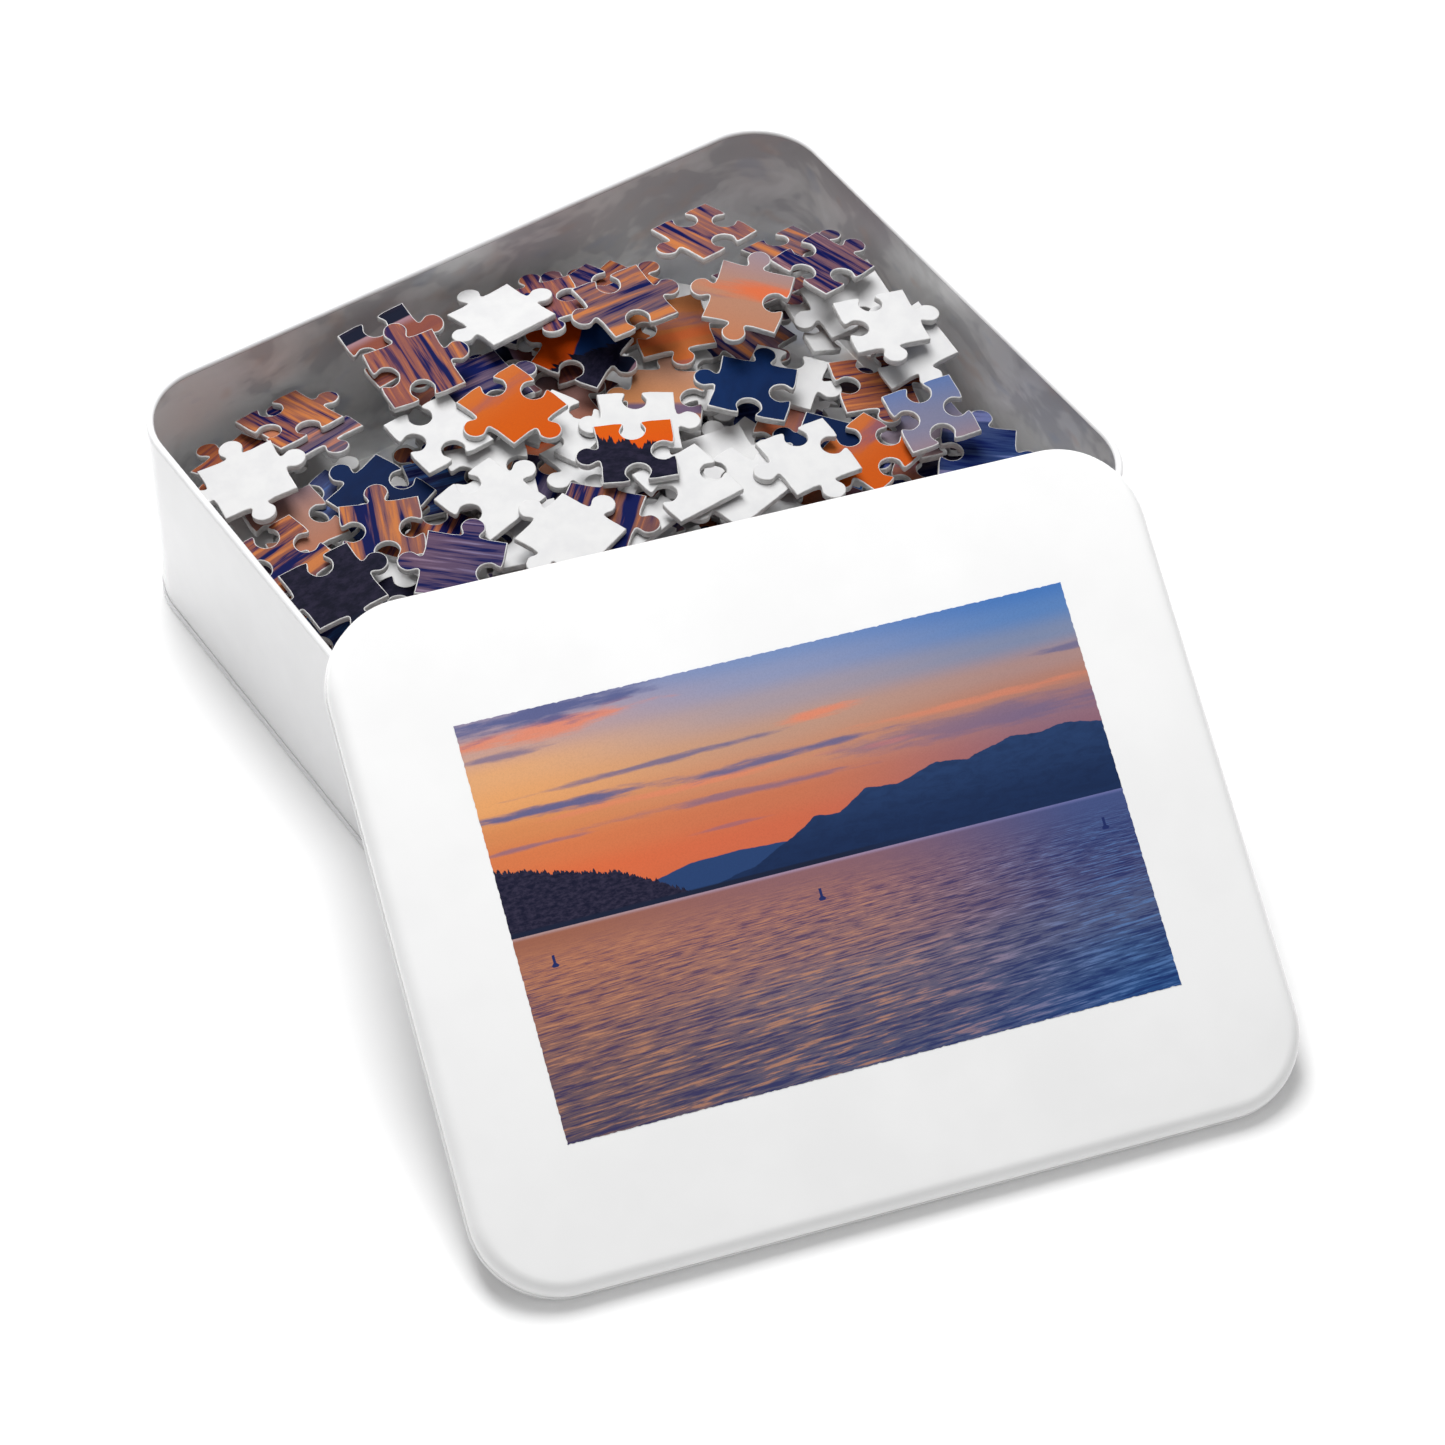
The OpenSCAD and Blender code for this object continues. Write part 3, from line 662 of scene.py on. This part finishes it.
def loose_solids(node):
    """The outline of each separate solid's upper face in a node, its points in order, in millimetres."""
    mesh = frame["nodes"][node].data
    place = {}
    welded = []
    points = []
    for v in mesh.vertices:
        key = tuple(round(c / MM, 3) for c in v.co)
        if key not in place:
            place[key] = len(points)
            points.append(v.co / MM)
        welded.append(place[key])
    # An edge that a second face of the cap shares is taken out again, which leaves the outline.
    outer = {}
    for face in mesh.polygons:
        ids = [welded[v] for v in face.vertices]
        if len(set(ids)) < 3:
            continue
        normal = (points[ids[1]] - points[ids[0]]).cross(points[ids[2]] - points[ids[0]])
        if normal.length < TINY or normal.normalized().z < CAP_UPWARD:
            continue
        for a, b in zip(ids, ids[1:] + ids[:1]):
            if (b, a) in outer:
                del outer[(b, a)]
            else:
                outer[(a, b)] = True
    following = dict(outer.keys())
    loops = []
    while following:
        start = next(iter(following))
        loop = [start]
        here = following.pop(start)
        while here != start:
            loop.append(here)
            here = following.pop(here)
        loops.append([points[i] for i in loop])
    return loops


def flat_frame(pts):
    """The middle and the upward normal of a solid's upper face, and which of its points are corners."""
    n = len(pts)
    before = np.linalg.norm(pts - np.roll(pts, 1, 0), axis=1)
    after = np.linalg.norm(np.roll(pts, -1, 0) - pts, axis=1)
    corners = [k for k in range(n) if before[k] > LONG_SIDE and after[k] > LONG_SIDE]
    area = sum((np.cross(pts[k], pts[(k + 1) % n]) for k in range(n)), np.zeros(3))
    normal = area / np.linalg.norm(area)
    return pts[corners].mean(0), normal, corners


def picture_direction(pts, corners, turn):
    """The direction along a side of the piece that is nearest to a turn, in degrees from +X."""
    wanted = np.array([math.cos(math.radians(turn)), math.sin(math.radians(turn)), 0])
    sides = [pts[corners[(k + 1) % 4]] - pts[corners[k]] for k in range(4)]
    ways = [s / np.linalg.norm(s) for s in sides]
    best = max(range(4), key=lambda k: ways[k] @ wanted)
    mean = ways[best] - ways[(best + 2) % 4]
    return mean / np.linalg.norm(mean)


def smooth_outline(outline, corners, steps):
    """The die's line through the CAD outline's points: smooth round the knobs and sharp at the corners."""
    line = []
    for k, first in enumerate(corners):
        last = corners[(k + 1) % len(corners)]
        count = (last - first) % len(outline)
        side = [outline[(first + j) % len(outline)] for j in range(count + 1)]
        ends = [2 * side[0] - side[1]] + side + [2 * side[-1] - side[-2]]
        for j in range(1, len(ends) - 2):
            p0, p1, p2, p3 = ends[j - 1:j + 3]
            for s in range(steps):
                line.append(between_points(p0, p1, p2, p3, s / steps))
    return np.array(line)


def between_points(p0, p1, p2, p3, share):
    """A point of the centripetal curve from p1 to p2, at that share of the way."""
    t0, t1 = 0.0, math.sqrt(np.linalg.norm(p1 - p0))
    t2 = t1 + math.sqrt(np.linalg.norm(p2 - p1))
    t3 = t2 + math.sqrt(np.linalg.norm(p3 - p2))
    t = t1 + (t2 - t1) * share
    a1 = p0 * (t1 - t) / (t1 - t0) + p1 * (t - t0) / (t1 - t0)
    a2 = p1 * (t2 - t) / (t2 - t1) + p2 * (t - t1) / (t2 - t1)
    a3 = p2 * (t3 - t) / (t3 - t2) + p3 * (t - t2) / (t3 - t2)
    b1 = a1 * (t2 - t) / (t2 - t0) + a2 * (t - t0) / (t2 - t0)
    b2 = a2 * (t3 - t) / (t3 - t1) + a3 * (t - t1) / (t3 - t1)
    return b1 * (t2 - t) / (t2 - t1) + b2 * (t - t1) / (t2 - t1)


def inset(line, distance):
    """The outline moved inwards. A point moves along the mean of its two sides' normals."""
    onward = np.roll(line, -1, 0) - line
    onward /= np.linalg.norm(onward, axis=1)[:, None]
    sides = np.stack([-onward[:, 1], onward[:, 0]], 1)
    mean = sides + np.roll(sides, 1, 0)
    mean /= np.maximum(np.linalg.norm(mean, axis=1), 0.3)[:, None]
    reach = np.minimum(1.0 / np.maximum((mean * sides).sum(1), 0.5), 1.5)
    return line + mean * (distance * reach)[:, None]


def piece_mesh(loop, face_up, cell, turn, section, steps):
    """Vertices, faces, material indices, smooth flags and picture coordinates of one loose piece."""
    pts = np.array(loop)
    middle, normal, corners = flat_frame(pts)
    way = picture_direction(pts, corners, turn)
    side = np.cross(normal, way)
    flat = np.stack([(pts - middle) @ way, (pts - middle) @ side], 1)
    line = smooth_outline(flat, corners, steps)
    n = len(line)
    centre = middle - normal * BOARD / 2
    rings = section if face_up else [(gap, -up) for gap, up in reversed(section)]
    vertices, place = [], []
    for gap, up in rings:
        for x, y in inset(line, gap):
            vertices.append(centre + x * way + y * side + up * normal)
            along = (cell[0] + 0.5 + x / PIECE_LENGTH) / COLUMNS
            across = (cell[1] + 0.5 + (y if face_up else -y) / PIECE_WIDTH) / ROWS
            place.append((along, across, 0.0))
    faces = [(j * n + i, j * n + (i + 1) % n, (j + 1) * n + (i + 1) % n, (j + 1) * n + i)
             for j in range(len(rings) - 1) for i in range(n)]
    top = (len(rings) - 1) * n
    faces.append(tuple(top + i for i in range(n)))
    faces.append(tuple(reversed(range(n))))
    wrapped = WRAPPED * n if face_up else 0
    upper_and_lower = [PRINTED, WHITE] if face_up else [WHITE, PRINTED]
    indices = [CUT] * (len(faces) - 2 - wrapped) + [PRINTED] * wrapped + upper_and_lower
    smooth = [True] * (len(faces) - 2) + [False, False]
    return vertices, faces, indices, smooth, place


def hashed(a, b):
    """A number from 0 to 1 that depends on two others."""
    value = math.sin(a * 12.9898 + b * 78.233) * 43758.5453
    return value - math.floor(value)


def loose_node(node):
    """Rebuilds the pieces of one CAD node with their cut edges, printed faces and white backs."""
    own = node.startswith("piece_")
    face_up = node.endswith("face_up")
    fine = own or node.startswith("layer_3")
    vertices, faces, indices, smooth, place = [], [], [], [], []
    for loop in loose_solids(node):
        if own:
            cell = tuple(int(word) for word in node.split("_")[1:3])
            turn = TURNS.get(cell, 0)
        else:
            x, y, z = loop[0]
            cell = (int(COLUMNS * hashed(x, y)), int(ROWS * hashed(y, z)))
            turn = 0
        piece = piece_mesh(loop, face_up, cell, turn, SECTION if fine else PLAIN_SECTION,
                           FINE_STEPS if fine else PLAIN_STEPS)
        start = len(vertices)
        vertices += piece[0]
        faces += [tuple(start + i for i in f) for f in piece[1]]
        indices += piece[2]
        smooth += piece[3]
        place += piece[4]
    body = frame["nodes"][node]["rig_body"]
    made = new_piece(node + "_detail", in_metres(vertices), faces, [CARD_PICTURE, CARD_BACK, CARD_EDGE], body,
                     [node], indices, smooth)
    picture_coordinates(made, place)


# ---- stage, light and camera ----
# How far from the tin, in metres, the floor's painted glow starts to grow, and stops.
GLOW_NEAR = 0.4
GLOW_FAR = 2.4


def painted_floor_glow(g):
    """Painted glow of the floor, faint by the tin and stronger far off, so that the floor is as bright far
    off as it is by the tin.
    """
    place = g.parts(object_place(g))
    far = g.node("VectorMath", {"operation": "LENGTH"}, Vector=g.vector(place[0], place[1])).outputs["Value"]
    return g.mix(g.between(far, GLOW_NEAR, GLOW_FAR), srgb(68, 68, 68), srgb(212, 212, 212))


def stage():
    """A plain pale floor that glows with painted light, more strongly far from the tin."""
    size = 6.0
    mesh = bpy.data.meshes.new("floor")
    corners = [(-size, -size, 0), (size, -size, 0), (size, size, 0), (-size, size, 0)]
    mesh.from_pydata(corners, [], [(0, 1, 2, 3)])
    floor = bpy.data.objects.new("floor", mesh)
    floor.data.materials.append(material("pale_floor_painted_glow", srgb(250, 250, 250), roughness=0.9,
                                         Specular_IOR_Level=0.1, Emission_Color=painted_floor_glow,
                                         Emission_Strength=1.0))
    bpy.context.scene.collection.objects.link(floor)


def area_light(name, place, target, size, power):
    """A rectangular lamp at a place, turned towards a target."""
    lamp = bpy.data.lights.new(name, "AREA")
    lamp.shape = "RECTANGLE"
    lamp.size, lamp.size_y = size
    lamp.energy = power
    made = bpy.data.objects.new(name, lamp)
    made.location = place
    made.rotation_euler = (Vector(target) - Vector(place)).to_track_quat("-Z", "Y").to_euler()
    bpy.context.scene.collection.objects.link(made)


def lights():
    """White light from all round, and a large soft lamp overhead, behind the tin."""
    world = bpy.data.worlds.new("studio")
    world.use_nodes = True
    background = world.node_tree.nodes["Background"]
    background.inputs["Color"].default_value = (1, 1, 1, 1)
    background.inputs["Strength"].default_value = 0.375
    bpy.context.scene.world = world
    area_light("overhead", place=(0.04, 0.24, 0.8), target=(0, -0.05, 0), size=(0.4, 0.7), power=8.6)
    bpy.context.scene.view_settings.view_transform = "Standard"


CAMERA_AZIMUTH = 35.41
CAMERA_ELEVATION = 49.2
CAMERA_ROLL = 1.55
CAMERA_TARGET = (-0.014, -0.061, 0.0207)
CAMERA_DISTANCE = 1.07
CAMERA_LENS = 108.55
SENSOR_WIDTH = 36.0


def camera():
    """Looks down on the lid from the tin's front left, from far off, so that edges stay nearly parallel."""
    azimuth, elevation = math.radians(CAMERA_AZIMUTH), math.radians(CAMERA_ELEVATION)
    onward = Vector((math.sin(azimuth) * math.cos(elevation), math.cos(azimuth) * math.cos(elevation),
                     -math.sin(elevation)))
    made = bpy.data.objects.new("camera", bpy.data.cameras.new("camera"))
    made.data.lens = CAMERA_LENS
    made.data.sensor_width = SENSOR_WIDTH
    made.location = Vector(CAMERA_TARGET) - onward * CAMERA_DISTANCE
    made.rotation_euler = (onward.to_track_quat("-Z", "Y").to_matrix().to_4x4()
                           @ Matrix.Rotation(math.radians(CAMERA_ROLL), 4, "Z")).to_euler()
    made.data.clip_start = 0.05
    bpy.context.scene.collection.objects.link(made)
    bpy.context.scene.camera = made


tin_wall()
tin_base()
lid_shell()
lid_print()
for name in sorted(frame["nodes"]):
    if name.startswith(("piece_", "layer_")):
        loose_node(name)
stage()
lights()
camera()
